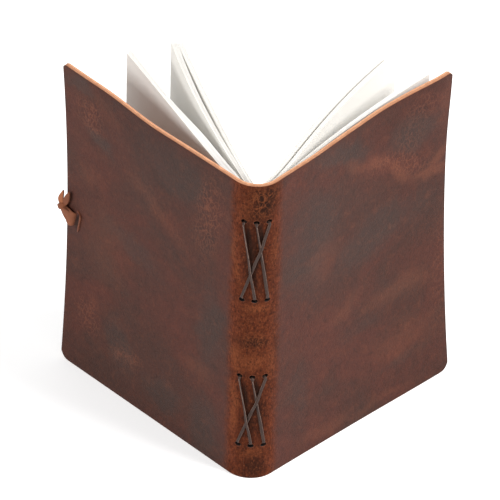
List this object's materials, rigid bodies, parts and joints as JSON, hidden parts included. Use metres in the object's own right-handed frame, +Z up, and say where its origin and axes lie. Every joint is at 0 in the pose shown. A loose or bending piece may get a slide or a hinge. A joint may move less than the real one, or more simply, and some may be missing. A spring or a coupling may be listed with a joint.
{
  "type": "leather journal",
  "caption": "Hand-sewn pull-up leather journal standing open, with sewn paper signatures, crossed spine stitching and a short strap knotted round the back cover's edge.",
  "frame": {"origin": "middle of the leather's thickness at the bottom of the spine", "axes": "+Z up along the spine, +Y from the spine into the open book, +X towards the front cover"},
  "size_m": [0.1872, 0.1201, 0.178],
  "materials": {
    "leather": "oiled pull-up leather, dark red-brown with lighter scuffs, raw orange-tan cut edges",
    "paper": "uncoated off-white writing paper",
    "thread": "waxed grey-brown linen thread, twisted",
    "strap_leather": "thin orange-brown leather with a suede flesh side"
  },
  "bodies": {
    "spine": {"spine": "leather", "left_signature": "paper", "middle_signature": "paper", "right_signature": "paper", "upper_thread": "thread", "lower_thread": "thread"},
    "front_cover": {"front_cover": "leather"},
    "back_cover": {"back_cover": "leather", "strap": "strap_leather"}
  },
  "joints": [
    {"name": "front_cover_hinge", "type": "hinge", "parent": "spine", "child": "front_cover", "pos_m": [0.00907, 0.0039, 0.089], "axis": [0, 0, 1], "range_deg": [-46.5, 43.5], "deforming": ["middle_signature", "right_signature"]},
    {"name": "back_cover_hinge", "type": "hinge", "parent": "spine", "child": "back_cover", "pos_m": [-0.00907, 0.0039, 0.089], "axis": [0, 0, -1], "range_deg": [-46.5, 43.5], "deforming": ["left_signature", "middle_signature"]}
  ]
}
